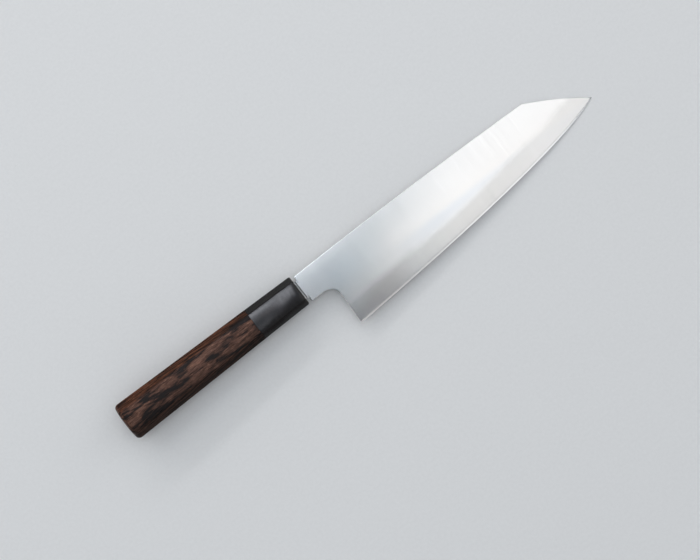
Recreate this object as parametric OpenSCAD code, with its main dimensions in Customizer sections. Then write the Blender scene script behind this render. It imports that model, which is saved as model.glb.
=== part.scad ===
// Kiritsuke kitchen knife with an octagonal handle, in millimetres.
// The knife is drawn along its handle's axis, with X towards the tip, Y towards the spine and
// the right face up. X is 0 at the ferrule's front face. at_rest() then lays it on a table.

/* [Blade outline] */
// Length of the blade along the handle's axis, from its shoulder to its tip
blade_len = 226; // [170:1:300]
// Height of the blade, from its spine at the shoulder to the heel
heel_h = 50.6; // [42:0.1:60]
// Distance from the shoulder to the heel corner along the handle's axis
heel_back = 17; // [13:0.1:26]
// Lean of the heel line, the heel corner back towards the handle, in degrees
heel_lean = 2.5; // [0:0.1:6]
// Height of the neck at the shoulder
neck_h = 19.8; // [17:0.1:21]
// Radius of the curve between the neck and the heel line
choil_r = 8.6; // [4:0.1:10]
// Height of the spine above the handle's axis at the shoulder
spine_rise = 9.2; // [7:0.1:11]
// Fall of the spine from the shoulder to the nose corner
spine_fall = 1.2; // [0:0.1:6]
// Height of the spine's long shallow arch
spine_bow = 1.1; // [0.2:0.1:4]
// Length of the slanted nose along the handle's axis, from its corner to the tip
nose_len = 39.3; // [24:0.1:80]
// Height of the nose's shallow arch
nose_bow = 1; // [0.2:0.1:4]
// Drop of the tip below the spine's height at the shoulder
tip_drop = 25.7; // [16:0.1:32]
// Angle that the edge dips below its straight chord at the heel, in degrees
edge_heel_dip = 3.6; // [1:0.1:6]
// Angle that the edge dips below its straight chord at the tip, in degrees
edge_tip_dip = 14.2; // [6:0.1:20]
// Reach of the nearly straight stretch from the heel, as a share of the chord
edge_flat = 0.73; // [0.3:0.01:0.8]
// Reach of the quick turn at the tip, as a share of the chord
edge_turn = 0.08; // [0.05:0.01:0.2]
// Radius of the two shoulder corners
shoulder_r = 0.8; // [0.3:0.1:2]

/* [Blade section] */
// Thickness at the shoulder, through all three layers
neck_t = 3; // [2.4:0.1:4]
// Thickness that the spine's taper reaches at the tip
tip_t = 0.9; // [0.5:0.1:1.5]
// Thickness of the hard core layer at the shoulder
core_t = 1.1; // [0.8:0.05:1.5]
// Height above the edge at which the cladding ends and the core shows
core_line_h = 14; // [6:0.5:18]
// Fullness of the faces between the core line and the spine
face_crown = 0.35; // [0:0.05:0.8]
// Height of the fine cutting bevel
bevel_h = 0.8; // [0.3:0.1:1.5]
// Thickness behind the cutting bevel
bevel_t = 0.3; // [0.2:0.05:0.4]
// Thickness left at the very edge
edge_t = 0.1; // [0.04:0.02:0.16]

/* [Tang] */
// Length of the tang behind the shoulder
tang_len = 105; // [60:1:110]
// Height of the tang's rear end
tang_rear_h = 6; // [4:0.5:9]
// Thickness of the tang's rear end
tang_rear_t = 2; // [1.2:0.1:2.8]
// Step from the spine down to the tang
upper_step = 3; // [1.5:0.1:4]
// Step from the neck's underside up to the tang
lower_step = 3.3; // [1.5:0.1:4]
// Bare stretch of tang between the ferrule and the shoulder
shoulder_gap = 2.2; // [0.5:0.1:6]

/* [Handle] */
// Length of the whole handle
handle_len = 141.8; // [125:0.1:160]
// Length of the horn ferrule
ferrule_len = 36.2; // [20:0.1:50]
// Height of the handle at its front
front_h = 21.9; // [19:0.1:25]
// Thickness of the handle at its front
front_t = 18; // [17:0.1:22]
// Width of the corner bevels at the front, seen from the side
front_bevel = 4.2; // [2:0.1:6]
// Height of the handle at its butt
butt_h = 26.6; // [22:0.1:30]
// Thickness of the handle at its butt
butt_t = 22; // [18:0.1:26]
// Width of the corner bevels at the butt, seen from the side
butt_bevel = 5; // [2:0.1:7]
// Radius of the rim round the butt
butt_round = 3.2; // [1:0.1:4]
// Height that the butt's middle stands out past its rim
butt_dome = 1.5; // [0.4:0.1:3]
// Radius of the rim round the ferrule's front
front_round = 1.2; // [0.3:0.1:2]

/* [Fits] */
// Thickness of the ferrule's front wall, which the tang passes
ferrule_wall = 5; // [3:0.5:10]
// Wood left in the dowel outside the tang's corners
dowel_margin = 0.5; // [0.3:0.1:1]
// Solid end of the dowel behind its slot
dowel_end = 5; // [3:0.5:8]
// Glue gap between the dowel and its bore
glue_gap = 0.05; // [0.03:0.01:0.15]
// Space behind the dowel in its bore
bore_relief = 0.8; // [0.3:0.1:2]
// Resin gap between the tang and its slot
slot_gap = 0.4; // [0.2:0.1:0.8]
// Depth of the resin below the ferrule's front face
resin_recess = 0.3; // [0.1:0.1:1]

/* [Hidden] */
$fn = 96;

// Blade corners
shoulder_x = shoulder_gap;
tip_x = shoulder_x + blade_len;
nose_x = tip_x - nose_len;
nose_y = spine_rise - spine_fall;
tip = [tip_x, spine_rise - tip_drop];
heel = [shoulder_x + heel_back, spine_rise - heel_h];
neck_y = spine_rise - neck_h;

// Tang lines
tang_end_x = shoulder_x - tang_len;
tang_top = spine_rise - upper_step;
tang_bottom = neck_y + lower_step;
tang_mid = (tang_top + tang_bottom) / 2;

// Steps of the curves and of the ground faces
SPINE_STEPS = 20;
NOSE_STEPS = 9;
EDGE_STEPS = 34;
CHOIL_STEPS = 12;
CORNER_STEPS = 4;
RIM_STEPS = 4;
DOME_STEPS = 3;
DOME_FLAT = 0.25;
FACE_STEPS = 25;
NECK_STEPS = 5;
OVERSHOOT = 1;

// Reach of the cutting solids, past everything that they cut
WIDE = 2 * max(heel_h, butt_h, butt_t);

function mix(a, b, share) = a + (b - a) * share;
function clamp01(v) = max(0, min(1, v));
function ease(v) = v * v * (3 - 2 * v);
function polar(r, a) = r * [cos(a), sin(a)];

// Points on a shallow arch from p to q that stands bow proud on its left side
function arch(p, q, bow, steps) =
    let (chord = norm(q - p))
    let (r = chord * chord / (8 * bow) + bow / 2)
    let (along = atan2(q.y - p.y, q.x - p.x))
    let (centre = (p + q) / 2 - polar(r - bow, along + 90))
    let (half = asin(chord / (2 * r)))
    [for (i = [0:steps]) centre + polar(r, along + 90 + half * (1 - 2 * i / steps))];

// Height of the spine's arch at any x, run on past the nose corner
function spine_y(x) =
    let (p = [shoulder_x, spine_rise])
    let (q = [nose_x, nose_y])
    let (chord = norm(q - p))
    let (r = chord * chord / (8 * spine_bow) + spine_bow / 2)
    let (centre = (p + q) / 2 - polar(r - spine_bow, atan2(q.y - p.y, q.x - p.x) + 90))
    centre.y + sqrt(r * r - pow(x - centre.x, 2));

// The cutting edge is one Bezier curve from the heel to the tip
edge_chord = tip - heel;
edge_rise = atan2(edge_chord.y, edge_chord.x);
edge_pull = [
    heel,
    heel + polar(edge_flat * norm(edge_chord), edge_rise - edge_heel_dip),
    tip - polar(edge_turn * norm(edge_chord), edge_rise + edge_tip_dip),
    tip
];
function edge_point(t) =
    pow(1 - t, 3) * edge_pull[0] + 3 * pow(1 - t, 2) * t * edge_pull[1]
    + 3 * (1 - t) * t * t * edge_pull[2] + pow(t, 3) * edge_pull[3];

// The choil touches the neck's underside and the heel line
choil_y = neck_y - choil_r;
choil_x = heel.x + ((choil_y - heel.y) * sin(heel_lean) - choil_r) / cos(heel_lean);
choil_centre = [choil_x, choil_y];

function corner_arc(centre, r, from, to, steps) =
    [for (i = [0:steps]) centre + polar(r, mix(from, to, i / steps))];

// Outline of the blade and tang, from the tang's rear end round by the spine
module blade_outline() {
    upper_corner = [shoulder_x + shoulder_r, spine_y(shoulder_x + shoulder_r) - shoulder_r];
    lower_corner = [shoulder_x + shoulder_r, neck_y + shoulder_r];
    spine_start = [shoulder_x + shoulder_r, spine_y(shoulder_x + shoulder_r)];
    spine_step = (nose_x - spine_start.x) / SPINE_STEPS;
    polygon(concat(
        [[tang_end_x, tang_mid + tang_rear_h / 2], [shoulder_x, tang_top]],
        corner_arc(upper_corner, shoulder_r, 180, 90, CORNER_STEPS),
        [for (i = [1:SPINE_STEPS - 1])
            let (x = spine_start.x + spine_step * i) [x, spine_y(x)]],
        arch([nose_x, nose_y], tip, nose_bow, NOSE_STEPS),
        [for (i = [1:EDGE_STEPS]) edge_point(1 - i / EDGE_STEPS)],
        corner_arc(choil_centre, choil_r, -heel_lean, 90, CHOIL_STEPS),
        corner_arc(lower_corner, shoulder_r, 270, 180, CORNER_STEPS),
        [[shoulder_x, tang_bottom], [tang_end_x, tang_mid - tang_rear_h / 2]]
    ));
}

// Half thickness at the spine: one taper along the blade and another down the tang
function spine_half(x) =
    x < shoulder_x
        ? mix(neck_t, tang_rear_t, (shoulder_x - x) / tang_len) / 2
        : mix(neck_t, tip_t, (x - shoulder_x) / blade_len) / 2;
function core_half(x) = spine_half(x) * core_t / neck_t;

// Height of the core line, which comes down where the blade is low
function core_line(height) = min(core_line_h, 0.6 * height);

// Half thickness of the ground face at a height above the edge
function face_half(x, above, height) =
    let (line = core_line(height))
    let (core = core_half(x))
    let (behind = min(bevel_t / 2, 0.8 * core))
    let (edge = min(edge_t / 2, 0.5 * behind))
    let (up = (above - line) / (height - line))
    above < bevel_h ? mix(edge, behind, above / bevel_h)
    : above < line ? mix(behind, core, (above - bevel_h) / (line - bevel_h))
    : mix(core, spine_half(x), up + face_crown * up * (1 - up));

// The neck is as thick as the tang, and blends into the ground faces by the heel
function half_at(x, above, height) =
    mix(spine_half(x), face_half(x, above, height),
        ease(clamp01((x - shoulder_x) / heel_back)));

// Stations along the blade, each the foot of one row of points on the edge line
heel_slope = (edge_pull[1].y - heel.y) / (edge_pull[1].x - heel.x);
tip_slope = (tip.y - edge_pull[2].y) / (tip.x - edge_pull[2].x);
function before_heel(x) = [x, heel.y + heel_slope * (x - heel.x)];
stations = concat(
    [before_heel(tang_end_x - OVERSHOOT)],
    [for (i = [0:NECK_STEPS - 1]) before_heel(shoulder_x + heel_back * i / NECK_STEPS)],
    [for (i = [0:FACE_STEPS]) edge_point(i / FACE_STEPS)],
    [tip + OVERSHOOT * [1, tip_slope]]
);

// Heights above the edge of one station's points: three below the core line, four above it
UNDER_EDGE = -0.3;
LOW_SHARES = [0.4, 0.8];
HIGH_SHARES = [0.15, 0.4, 0.7, 1.04];
function rows(height) =
    let (line = core_line(height))
    concat([UNDER_EDGE, bevel_h], line * LOW_SHARES,
        [for (s = HIGH_SHARES) mix(line, height, s)]);
ROWS = 2 + len(LOW_SHARES) + len(HIGH_SHARES);

// A ground blade without its outline, larger all round than the outline that cuts it
module ground_stock() {
    last = len(stations) - 1;
    points = [for (side = [1, -1]) for (foot = stations)
        let (height = spine_y(foot.x) - foot.y)
        for (above = rows(height))
            [foot.x, foot.y + above, side * half_at(foot.x, above, height)]];
    function at(side, i, j) = (side * (last + 1) + i) * ROWS + j;
    function quad(a, b, c, d) = [[a, b, c], [a, c, d]];
    faces = concat(
        [for (i = [0:last - 1]) for (j = [0:ROWS - 2]) for (f =
            quad(at(0, i, j), at(0, i, j + 1), at(0, i + 1, j + 1), at(0, i + 1, j))) f],
        [for (i = [0:last - 1]) for (j = [0:ROWS - 2]) for (f =
            quad(at(1, i, j), at(1, i + 1, j), at(1, i + 1, j + 1), at(1, i, j + 1))) f],
        [for (i = [0:last - 1]) for (f =
            quad(at(0, i, 0), at(0, i + 1, 0), at(1, i + 1, 0), at(1, i, 0))) f],
        [for (i = [0:last - 1]) for (f =
            quad(at(0, i, ROWS - 1), at(1, i, ROWS - 1),
                at(1, i + 1, ROWS - 1), at(0, i + 1, ROWS - 1))) f],
        [for (j = [0:ROWS - 2]) for (f =
            quad(at(0, 0, j), at(1, 0, j), at(1, 0, j + 1), at(0, 0, j + 1))) f],
        [for (j = [0:ROWS - 2]) for (f =
            quad(at(0, last, j), at(0, last, j + 1), at(1, last, j + 1), at(1, last, j))) f]
    );
    polyhedron(points, faces, convexity = 6);
}

// A slice of the stock between two heights, given as multiples of the core's half thickness
module layer(low, high) {
    xs = [tang_end_x - OVERSHOOT, shoulder_x, tip_x + OVERSHOOT];
    along = concat(
        [for (x = xs) [x, low * core_half(x)]],
        [for (i = [2:-1:0]) [xs[i], high * core_half(xs[i])]]
    );
    rotate([90, 0, 0]) linear_extrude(height = 2 * WIDE, center = true) polygon(along);
}

module blade_layer(low, high) {
    intersection() {
        linear_extrude(height = 2 * neck_t, center = true) blade_outline();
        ground_stock();
        layer(low, high);
    }
}

// Side profile of the handle through one pair of facets, with its domed butt and rounded rims.
// The rim's arc round the butt touches both the dome's arc and the side.
module facet_profile(front_half, butt_half) {
    slope = (front_half - butt_half) / handle_len;
    tilt = sqrt(1 + slope * slope);
    side = atan2(1, -slope);
    dome_r = butt_half * butt_half / 2 / butt_dome + butt_dome / 2;
    dome_centre = [dome_r - handle_len, 0];
    reach = butt_half + slope * dome_r - butt_round * tilt;
    inner = pow(dome_r - butt_round, 2) * tilt * tilt - reach * reach;
    back = -(reach * slope + sqrt(inner)) / tilt / tilt;
    butt_centre = dome_centre + [back, reach + slope * back];
    dome_from = 180 - asin(DOME_FLAT * butt_half / dome_r);
    dome_to = atan2(butt_centre.y, back);
    front_centre = [-front_round, front_half - slope * front_round - front_round * tilt];
    upper = concat(
        [[-handle_len, DOME_FLAT * butt_half]],
        [for (i = [1:DOME_STEPS - 1])
            dome_centre + polar(dome_r, mix(dome_from, dome_to, i / DOME_STEPS))],
        corner_arc(butt_centre, butt_round, dome_to, side, RIM_STEPS),
        corner_arc(front_centre, front_round, side, 0, RIM_STEPS)
    );
    polygon(concat(upper, [for (i = [len(upper) - 1:-1:0]) [upper[i].x, -upper[i].y]]));
}

// A pair of facets, turned about the handle's axis from the broad sides
module facet_pair(turn, front_half, butt_half) {
    rotate([turn, 0, 0])
    rotate([90, 0, 0])
    linear_extrude(height = 2 * WIDE, center = true)
    facet_profile(front_half, butt_half);
}

front_corner = (front_h + front_t - 2 * front_bevel) / 2 / sqrt(2);
butt_corner = (butt_h + butt_t - 2 * butt_bevel) / 2 / sqrt(2);

module handle_form() {
    intersection() {
        facet_pair(0, front_t / 2, butt_t / 2);
        facet_pair(45, front_corner, butt_corner);
        facet_pair(90, front_h / 2, butt_h / 2);
        facet_pair(135, front_corner, butt_corner);
    }
}

// A block across the handle between two places on its axis
module stretch(from, to) {
    translate([from, -WIDE / 2, -WIDE / 2]) cube([to - from, WIDE, WIDE]);
}

// Dowel and bore take their size from the tang where it leaves the ferrule's wall
function tang_y_at(x, front, side) =
    mix(front, tang_mid + side * tang_rear_h / 2, (shoulder_x - x) / tang_len);
tang_reach = max(abs(tang_y_at(-ferrule_wall, tang_top, 1)),
    abs(tang_y_at(-ferrule_wall, tang_bottom, -1)));
dowel_r = norm([tang_reach, spine_half(-ferrule_wall)]) + dowel_margin;
slot_end_x = tang_end_x - slot_gap;
dowel_end_x = slot_end_x - dowel_end;
slot_half = spine_half(0) + slot_gap;

module round_bar(r, from, to) {
    translate([from, 0, 0]) rotate([0, 90, 0]) cylinder(r = r, h = to - from);
}

// The slot's mouth through the ferrule's wall
module mouth(from, to) {
    low = tang_y_at(0, tang_bottom, -1) - slot_gap;
    high = tang_y_at(0, tang_top, 1) + slot_gap;
    translate([from, low, -slot_half]) cube([to - from, high - low, 2 * slot_half]);
}

// The slot across the whole dowel, from its closed end to its mouth
module dowel_slot(to) {
    translate([slot_end_x, -WIDE / 2, -slot_half])
    cube([to - slot_end_x, WIDE, 2 * slot_half]);
}

// The tang's own solid, which the resin is cast round
module tang_space() {
    xs = [tang_end_x, shoulder_x];
    intersection() {
        linear_extrude(height = 2 * neck_t, center = true)
        polygon([
            [xs[0], tang_mid + tang_rear_h / 2],
            [xs[1], tang_top],
            [xs[1], tang_bottom],
            [xs[0], tang_mid - tang_rear_h / 2]
        ]);
        rotate([90, 0, 0])
        linear_extrude(height = 2 * WIDE, center = true)
        polygon([
            [xs[0], spine_half(xs[0])],
            [xs[1], spine_half(xs[1])],
            [xs[1], -spine_half(xs[1])],
            [xs[0], -spine_half(xs[0])]
        ]);
    }
}

// The knife lies on the ferrule's lower front rim and on its tip, so it noses down a little
sole = front_t / 2 - bevel_t / 2;
first_pitch = atan(sole / tip_x);
rim_lift = front_round * (sin(first_pitch) + cos(first_pitch) - 1);
pitch = atan((sole - rim_lift) / tip_x);
lift = front_t / 2 * cos(pitch) - rim_lift;
low_x = -handle_len * cos(pitch) - DOME_FLAT * butt_t / 2 * sin(pitch);
mid_x = (low_x + tip_x * cos(pitch)) / 2;
mid_y = (butt_h / 2 + heel.y) / 2;

module at_rest() {
    translate([-mid_x, -mid_y, lift]) rotate([0, pitch, 0]) children();
}

// Hard steel between the claddings: the whole edge, and the middle of the tang
module blade_core() {
    color([0.72, 0.74, 0.76]) at_rest() blade_layer(-1, 1);
}

// Soft steel on the right face, up to the core line
module blade_cladding_right() {
    color([0.88, 0.89, 0.9]) at_rest() blade_layer(1, 4);
}

// Soft steel on the left face
module blade_cladding_left() {
    color([0.82, 0.83, 0.85]) at_rest() blade_layer(-4, -1);
}

// Black horn, bored blind from behind for the dowel and slotted for the tang
module horn_ferrule() {
    color([0.09, 0.085, 0.09]) at_rest()
    difference() {
        intersection() {
            handle_form();
            stretch(-ferrule_len, OVERSHOOT);
        }
        round_bar(dowel_r + glue_gap, -ferrule_len - OVERSHOOT, -ferrule_wall);
        mouth(-ferrule_wall - OVERSHOOT, OVERSHOOT);
    }
}

// Dark wood, bored blind from its front for the dowel
module handle_body() {
    color([0.33, 0.2, 0.15]) at_rest()
    difference() {
        intersection() {
            handle_form();
            stretch(-handle_len - OVERSHOOT, -ferrule_len);
        }
        round_bar(dowel_r + glue_gap, dowel_end_x - bore_relief, -ferrule_len + OVERSHOOT);
    }
}

// Light wood that joins the ferrule to the body and grips the tang in its slot
module slotted_dowel() {
    color([0.82, 0.7, 0.5]) at_rest()
    difference() {
        round_bar(dowel_r, dowel_end_x, -ferrule_wall);
        dowel_slot(-ferrule_wall + OVERSHOOT);
    }
}

// Cured resin that fills the slot round the tang, to just inside the ferrule's mouth
module tang_resin() {
    color([0.24, 0.2, 0.15]) at_rest()
    difference() {
        union() {
            intersection() {
                round_bar(dowel_r, slot_end_x, -ferrule_wall);
                dowel_slot(-ferrule_wall);
            }
            mouth(-ferrule_wall, -resin_recess);
        }
        tang_space();
    }
}

blade_core();
blade_cladding_right();
blade_cladding_left();
horn_ferrule();
handle_body();
slotted_dowel();
tang_resin();
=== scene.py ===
import math

import bmesh
import bpy
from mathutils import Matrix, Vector


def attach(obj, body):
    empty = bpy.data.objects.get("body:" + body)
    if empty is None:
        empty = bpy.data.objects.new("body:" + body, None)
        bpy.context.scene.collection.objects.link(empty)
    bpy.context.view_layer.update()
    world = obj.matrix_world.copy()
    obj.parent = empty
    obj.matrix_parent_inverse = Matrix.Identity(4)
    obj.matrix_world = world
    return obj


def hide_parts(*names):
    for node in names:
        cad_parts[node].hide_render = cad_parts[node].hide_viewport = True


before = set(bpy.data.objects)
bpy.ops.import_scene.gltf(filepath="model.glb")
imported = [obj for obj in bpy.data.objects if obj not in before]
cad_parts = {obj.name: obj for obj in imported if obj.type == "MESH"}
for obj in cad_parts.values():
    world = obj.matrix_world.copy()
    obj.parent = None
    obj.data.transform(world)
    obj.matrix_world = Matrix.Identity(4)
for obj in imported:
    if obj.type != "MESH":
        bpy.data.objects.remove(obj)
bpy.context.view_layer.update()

# The knife is drawn along its handle's axis, in millimetres, as the part is:
# x runs to the tip from the ferrule's front, y to the spine and z out of the right face.
BLADE_LEN = 226.0
HEEL_H = 50.6
HEEL_BACK = 17.0
HEEL_LEAN = math.radians(2.5)
NECK_H = 19.8
CHOIL_R = 8.6
SPINE_RISE = 9.2
SPINE_FALL = 1.2
SPINE_BOW = 1.1
NOSE_LEN = 39.3
NOSE_BOW = 1.0
TIP_DROP = 25.7
EDGE_HEEL_DIP = math.radians(3.6)
EDGE_TIP_DIP = math.radians(14.2)
EDGE_FLAT = 0.73
EDGE_TURN = 0.08
SHOULDER_R = 0.8
NECK_T = 3.0
TIP_T = 0.9
CORE_T = 1.1
CORE_LINE_H = 14.0
FACE_CROWN = 0.35
BEVEL_H = 0.8
BEVEL_T = 0.3
EDGE_T = 0.1
TANG_LEN = 105.0
TANG_REAR_H = 6.0
TANG_REAR_T = 2.0
TANG_BLEND = 6.0
UPPER_STEP = 3.0
LOWER_STEP = 3.3
SHOULDER_GAP = 2.2
HANDLE_LEN = 141.8
FERRULE_LEN = 36.2
FRONT_H = 21.9
FRONT_T = 18.0
FRONT_BEVEL = 4.2
BUTT_H = 26.6
BUTT_T = 22.0
BUTT_BEVEL = 5.0
BUTT_ROUND = 3.2
BUTT_DOME = 1.5
DOME_FLAT = 0.25
FRONT_ROUND = 1.2
FERRULE_WALL = 5.0
DOWEL_MARGIN = 0.5
DOWEL_END = 5.0
GLUE_GAP = 0.05
BORE_RELIEF = 0.8
SLOT_GAP = 0.4

# Softened edges and crowned facets that only the fine meshes have
SPINE_EASE = 0.36
FACET_EASE = 0.45
FACET_CROWN_R = 230.0
SEAM_EASE = 0.12
EASE_STEPS = 4
FLAT_STEPS = 6
FACET_EASE_SHARE = 0.2

# Shares that keep the thin parts of the blade in proportion near the tip
CORE_LINE_SHARE = 0.6
BEVEL_SHARE = 0.3
BEHIND_BEVEL_SHARE = 0.8
EDGE_SHARE = 0.5
CLADDING_EASE_SHARE = 0.9
CORE_EASE_SHARE = 0.6
CORE_EASE_RUN = 2.0
THIN_LAYER = 0.001

# How finely places are found and points are told apart
HALVINGS = 45
ROUNDS = 20
PLACE_DIGITS = 6
TINY = 1e-9

# Name of the blade's mesh attribute that its steels are shaded by
ABOVE = "above_core_line"

MM = 0.001
shoulder_x = SHOULDER_GAP
tip_x = shoulder_x + BLADE_LEN
tip_y = SPINE_RISE - TIP_DROP
nose_x = tip_x - NOSE_LEN
nose_y = SPINE_RISE - SPINE_FALL
heel_x = shoulder_x + HEEL_BACK
heel_y = SPINE_RISE - HEEL_H
neck_y = SPINE_RISE - NECK_H
tang_end_x = shoulder_x - TANG_LEN
tang_top = SPINE_RISE - UPPER_STEP
tang_bottom = neck_y + LOWER_STEP
tang_mid = (tang_top + tang_bottom) / 2

# How the knife lies: on the ferrule's lower front rim and on its tip
sole = FRONT_T / 2 - BEVEL_T / 2
first_pitch = math.atan(sole / tip_x)
rim_lift = FRONT_ROUND * (math.sin(first_pitch) + math.cos(first_pitch) - 1)
pitch = math.atan((sole - rim_lift) / tip_x)
lift = FRONT_T / 2 * math.cos(pitch) - rim_lift
low_x = -HANDLE_LEN * math.cos(pitch) - DOME_FLAT * BUTT_T / 2 * math.sin(pitch)
mid_x = (low_x + tip_x * math.cos(pitch)) / 2
mid_y = (BUTT_H / 2 + heel_y) / 2


def place(x, y, z):
    """A point of the knife, in millimetres, at its place in the frame, in metres."""
    along = x * math.cos(pitch) + z * math.sin(pitch)
    up = z * math.cos(pitch) - x * math.sin(pitch)
    return Vector((along - mid_x, y - mid_y, up + lift)) * MM


def unplace(point):
    """The knife's x and y, in millimetres, of a place in the frame."""
    along, across, up = point.x / MM + mid_x, point.y / MM + mid_y, point.z / MM - lift
    return along * math.cos(pitch) - up * math.sin(pitch), across


def mix(a, b, share):
    return a + (b - a) * share


def steps(start, end, count):
    """The ends of count equal steps between two values, both of them included."""
    return [mix(start, end, i / count) for i in range(count + 1)]


def clamp01(v):
    return max(0.0, min(1.0, v))


def ease(v):
    """A share from 0 to 1 that starts and stops softly."""
    return v * v * (3 - 2 * v)


def arch(px, py, qx, qy, bow):
    """Centre and radius of a shallow arch from p to q that stands bow proud."""
    chord = math.hypot(qx - px, qy - py)
    radius = chord * chord / (8 * bow) + bow / 2
    out = math.atan2(qy - py, qx - px) + math.pi / 2
    drop = radius - bow
    centre_x = (px + qx) / 2 - drop * math.cos(out)
    centre_y = (py + qy) / 2 - drop * math.sin(out)
    return centre_x, centre_y, radius


def on_arch(curve, x):
    """Height of an arch at x."""
    centre_x, centre_y, radius = curve
    return centre_y + math.sqrt(radius * radius - (x - centre_x) ** 2)


spine_arch = arch(shoulder_x, SPINE_RISE, nose_x, nose_y, SPINE_BOW)
nose_arch = arch(nose_x, nose_y, tip_x, tip_y, NOSE_BOW)
nose_lean = math.atan2(nose_y - tip_y, NOSE_LEN)


def spine_y(x):
    return on_arch(spine_arch, x)


def top_y(x):
    """Height of the blade's upper outline at x, along the spine and down the nose."""
    return spine_y(x) if x < nose_x else on_arch(nose_arch, min(x, tip_x))


# The cutting edge is one Bezier curve from the heel to the tip
edge_chord = math.hypot(tip_x - heel_x, tip_y - heel_y)
edge_rise = math.atan2(tip_y - heel_y, tip_x - heel_x)


def pulled(x, y, reach, angle):
    """The handle of a Bezier curve's end, a share of the chord away from it."""
    return x + reach * edge_chord * math.cos(angle), y + reach * edge_chord * math.sin(angle)


edge_pull = [
    (heel_x, heel_y),
    pulled(heel_x, heel_y, EDGE_FLAT, edge_rise - EDGE_HEEL_DIP),
    pulled(tip_x, tip_y, -EDGE_TURN, edge_rise + EDGE_TIP_DIP),
    (tip_x, tip_y),
]
heel_slope = math.tan(edge_rise - EDGE_HEEL_DIP)


def edge_point(t, axis):
    """One coordinate of the cutting edge's curve at t, from 0 to 1."""
    s = 1 - t
    a, b, c, d = (p[axis] for p in edge_pull)
    return a * s ** 3 + 3 * b * s * s * t + 3 * c * s * t * t + d * t ** 3


def edge_y(x):
    """Height of the cutting edge at x, run on straight before the heel."""
    if x <= heel_x:
        return heel_y + heel_slope * (x - heel_x)
    if x >= tip_x:
        return tip_y
    low, high = 0.0, 1.0
    for _ in range(HALVINGS):
        t = (low + high) / 2
        if edge_point(t, 0) < x:
            low = t
        else:
            high = t
    return edge_point(low, 1)


choil_y = neck_y - CHOIL_R
choil_x = heel_x + ((choil_y - heel_y) * math.sin(HEEL_LEAN) - CHOIL_R) / math.cos(HEEL_LEAN)


def heel_line_x(y):
    return heel_x + (y - heel_y) * math.tan(HEEL_LEAN)


def spine_half(x):
    """Half thickness along the spine, and of the flat tang."""
    if x < shoulder_x:
        return mix(NECK_T, TANG_REAR_T, (shoulder_x - x) / TANG_LEN) / 2
    return mix(NECK_T, TIP_T, (x - shoulder_x) / BLADE_LEN) / 2


def core_line(height):
    """Height above the edge at which the cladding ends, on a blade as high as height."""
    return min(CORE_LINE_H, CORE_LINE_SHARE * height)


def face_half(x, above, height):
    """Half thickness of the ground face, one crowned curve from the bevel to the spine."""
    behind = min(BEVEL_T / 2, BEHIND_BEVEL_SHARE * spine_half(x) * CORE_T / NECK_T)
    edge = min(EDGE_T / 2, EDGE_SHARE * behind)
    if above < BEVEL_H:
        return mix(edge, behind, max(0.0, above) / BEVEL_H)
    up = (above - BEVEL_H) / (height - BEVEL_H)
    return mix(behind, spine_half(x), up + FACE_CROWN * up * (1 - up))


def core_half(x):
    """Half thickness of the core, which comes to the surface at the core line."""
    height = spine_y(x) - edge_y(x)
    return face_half(x, core_line(height), height)


def flat_half(x, y):
    """Half thickness of the blade before its outline is eased."""
    foot = edge_y(x)
    ground = face_half(x, y - foot, spine_y(x) - foot)
    share = ease(clamp01(1 - (shoulder_x - x) / TANG_BLEND))
    return mix(spine_half(x), ground, share)


def to_outline(x, y):
    """Distance from a point of the face to the outline, the cutting edge left out."""
    gaps = [top_y(x) - y]
    if x >= nose_x:
        gaps = [(top_y(x) - y) * math.cos(nose_lean)]
    if y < choil_y:
        gaps.append((x - heel_line_x(y)) * math.cos(HEEL_LEAN))
    elif x > choil_x:
        gaps.append(math.hypot(x - choil_x, y - choil_y) - CHOIL_R)
    else:
        gaps.append(y - neck_y)
    if y > tang_top or y < tang_bottom:
        gaps.append(x - shoulder_x)
    return max(0.0, min(gaps))


def ease_radius(x, y, half):
    """The outline's easing, which leaves some of the layer that it is cut in."""
    foot = edge_y(x)
    spare = half - core_half(x)
    if x <= shoulder_x or spare > THIN_LAYER:
        return min(SPINE_EASE, CLADDING_EASE_SHARE * max(0.0, spare))
    under = core_line(spine_y(x) - foot) - (y - foot)
    return min(SPINE_EASE, CORE_EASE_SHARE * half) * clamp01(under / CORE_EASE_RUN)


def surface_half(x, y):
    """Half thickness of the finished blade, with its outline eased."""
    half = flat_half(x, y)
    if x < shoulder_x:
        return half
    radius = ease_radius(x, y, half)
    gap = to_outline(x, y)
    if gap >= radius:
        return half
    return half - radius + math.sqrt(max(0.0, radius * radius - (radius - gap) ** 2))


# Places of points down a section line: close together by its ends, for the eased outline
RIM = [0.0, 0.03, 0.08, 0.15, 0.25, 0.36, 0.45]
SHORT_LINE = 3.0
NECK_SHARES = [0.04, 0.2, 0.3, 0.4, 0.5, 0.6, 0.7, 0.77, 0.9, 0.96]
LOWER_SHARES = [0.1, 0.25, 0.4, 0.55, 0.7, 0.82, 0.91, 0.96, 1.0]
CORE_SHARES = [0.04, 0.1, 0.2, 0.35, 0.5, 0.65, 0.8, 0.92]

# Where the section lines stand, from the shoulder and from the heel, and how many there are
NECK_OUT = [0, 0.03, 0.09, 0.18, 0.3, 0.45, 0.6, SHOULDER_R, 1.3, 2.4, 3.8, 5.4, 7.2]
HEEL_OUT = RIM + [0.7, 1.2, 2.0, 3.5, 5.5, 8.0]
BODY_OUT = 11.0
CHOIL_LINES = 20
TANG_LINES = 4
TANG_BLEND_LINES = 6
BODY_LINES = 46
NOSE_LINES = 16
TIP_LINES = 14
UPRIGHT_OUT = 45.0


def rim_of(length):
    """Distances of the points near an outline, drawn together where the line is short."""
    return [r * min(1.0, length / SHORT_LINE) for r in RIM]


def heel_line_top():
    """Where the heel's line, run on upwards, meets the spine."""
    y = SPINE_RISE
    for _ in range(ROUNDS):
        y = spine_y(heel_line_x(y))
    return heel_line_x(y), y


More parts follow.
